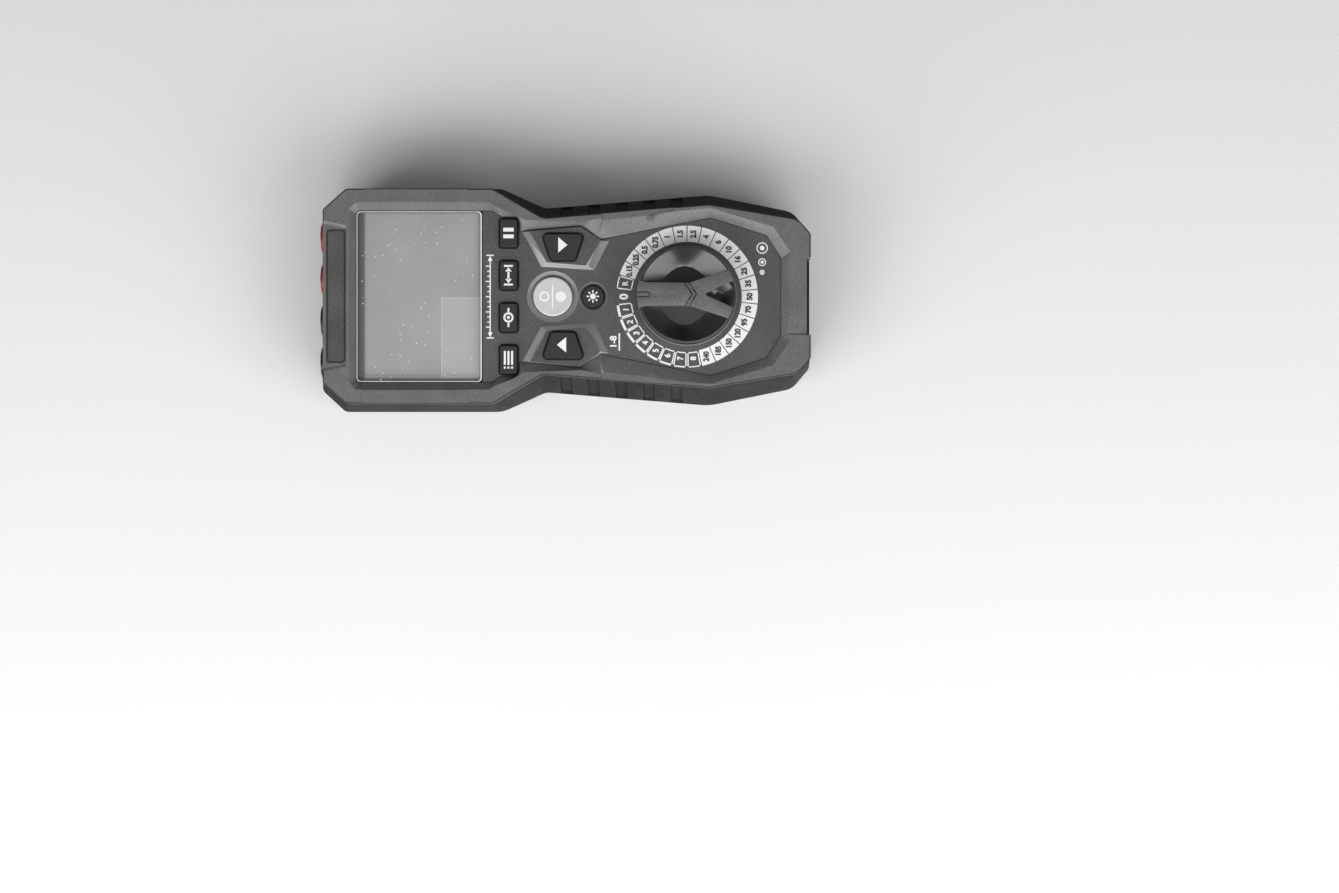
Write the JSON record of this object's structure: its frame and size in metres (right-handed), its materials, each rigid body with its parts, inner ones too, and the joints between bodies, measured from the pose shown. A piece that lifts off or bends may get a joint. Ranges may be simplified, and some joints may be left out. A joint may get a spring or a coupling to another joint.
{
  "type": "cable length meter",
  "caption": "Hand-held cable length meter with display window, keypad, rotary wire-gauge switch, rubber grip, shrouded test sockets and a folding stand.",
  "frame": {"origin": "on the surface the meter lies on, under the middle of its outline", "axes": "+X to the reader's right, +Y towards the display and socket end, +Z out of the face"},
  "size_m": [0.0918, 0.2, 0.05],
  "materials": {
    "frame_plastic": "fine moulded grain",
    "grip_rubber": "soft matt overmould",
    "case_plastic": "moulded grain",
    "seal_rubber": "plain",
    "panel_plastic": "fine matt face sheet",
    "plate_plastic": "matt, bare",
    "window_clear": "clear polished acrylic",
    "lcd_grey": "unlit display, matt polariser",
    "white_plastic": "moulded",
    "light_key": "smooth",
    "key_black": "smooth silicone",
    "mat_silicone": "moulded silicone",
    "knob_gloss": "polished",
    "knob_matte": "fine grain",
    "spring_metal": "nickel plated",
    "steel": "zinc plated",
    "board_green": "solder mask",
    "chip_black": "moulded packages",
    "contact_brass": "turned",
    "cell_metal": "plain sleeve",
    "jack_red": "moulded",
    "jack_black": "moulded"
  },
  "bodies": {
    "housing": {"front_housing": "frame_plastic", "front_grip": "grip_rubber", "rear_housing": "case_plastic", "rear_grip": "grip_rubber", "face_panel": "panel_plastic", "display_window": "window_clear", "jack_collar_source_black": "jack_black", "jack_collar_sense_black": "jack_black", "jack_collar_sense_red": "jack_red", "jack_collar_source_red": "jack_red", "jack_sleeve_source_black": "contact_brass", "jack_sleeve_sense_black": "contact_brass", "jack_sleeve_sense_red": "contact_brass", "jack_sleeve_source_red": "contact_brass", "housing_seal": "seal_rubber", "lcd_glass": "lcd_grey", "lcd_holder": "white_plastic", "contact_strips": "seal_rubber", "backlight_diffuser": "white_plastic", "keypad_mat": "mat_silicone", "main_board": "board_green", "board_screws": "steel", "board_parts": "chip_black", "buzzer": "chip_black", "jack_block": "case_plastic", "jack_straps": "contact_brass", "batteries": "cell_metal", "battery_springs": "spring_metal", "battery_contacts": "spring_metal", "case_screws": "steel", "label_plate": "plate_plastic"},
    "knob": {"function_knob": "knob_gloss", "knob_pointer": "knob_matte", "switch_rotor": "white_plastic", "wiper_contacts": "spring_metal", "detent_balls": "steel", "detent_springs": "spring_metal", "knob_screw": "steel"},
    "stand": {"tilt_stand": "case_plastic"},
    "battery_cover": {"battery_door": "case_plastic", "door_screw": "steel", "door_gasket": "seal_rubber"},
    "memory_key": {"memory_key": "key_black"},
    "zero_key": {"zero_key": "key_black"},
    "units_key": {"units_key": "key_black"},
    "hold_key": {"hold_key": "key_black"},
    "up_key": {"up_key": "key_black"},
    "down_key": {"down_key": "key_black"},
    "metal_select_key": {"metal_select_key": "light_key"},
    "backlight_key": {"backlight_key": "key_black"}
  },
  "joints": [
    {"name": "function_knob_turn", "type": "hinge", "parent": "housing", "child": "knob", "pos_m": [0, -0.0498, 0.0389], "axis": [0, 0, 1], "continuous": true},
    {"name": "tilt_stand_swing", "type": "hinge", "parent": "housing", "child": "stand", "pos_m": [0, 0.0825, 0.0037], "axis": [1, 0, 0], "range_deg": [0, 60]},
    {"name": "battery_door_lift", "type": "slide", "parent": "housing", "child": "battery_cover", "axis": [0, 0, -1], "range_m": [0, 0.03]},
    {"name": "memory_key_press", "type": "slide", "parent": "housing", "child": "memory_key", "axis": [0, 0, -1], "range_m": [0, 0.0008], "stiffness_N_per_m": 800, "springref_m": -0.0004},
    {"name": "zero_key_press", "type": "slide", "parent": "housing", "child": "zero_key", "axis": [0, 0, -1], "range_m": [0, 0.0008], "stiffness_N_per_m": 800, "springref_m": -0.0004},
    {"name": "units_key_press", "type": "slide", "parent": "housing", "child": "units_key", "axis": [0, 0, -1], "range_m": [0, 0.0008], "stiffness_N_per_m": 800, "springref_m": -0.0004},
    {"name": "hold_key_press", "type": "slide", "parent": "housing", "child": "hold_key", "axis": [0, 0, -1], "range_m": [0, 0.0008], "stiffness_N_per_m": 800, "springref_m": -0.0004},
    {"name": "up_key_press", "type": "slide", "parent": "housing", "child": "up_key", "axis": [0, 0, -1], "range_m": [0, 0.0008], "stiffness_N_per_m": 800, "springref_m": -0.0004},
    {"name": "down_key_press", "type": "slide", "parent": "housing", "child": "down_key", "axis": [0, 0, -1], "range_m": [0, 0.0008], "stiffness_N_per_m": 800, "springref_m": -0.0004},
    {"name": "metal_select_key_press", "type": "slide", "parent": "housing", "child": "metal_select_key", "axis": [0, 0, -1], "range_m": [0, 0.0008], "stiffness_N_per_m": 800, "springref_m": -0.0004},
    {"name": "backlight_key_press", "type": "slide", "parent": "housing", "child": "backlight_key", "axis": [0, 0, -1], "range_m": [0, 0.0008], "stiffness_N_per_m": 800, "springref_m": -0.0004}
  ]
}
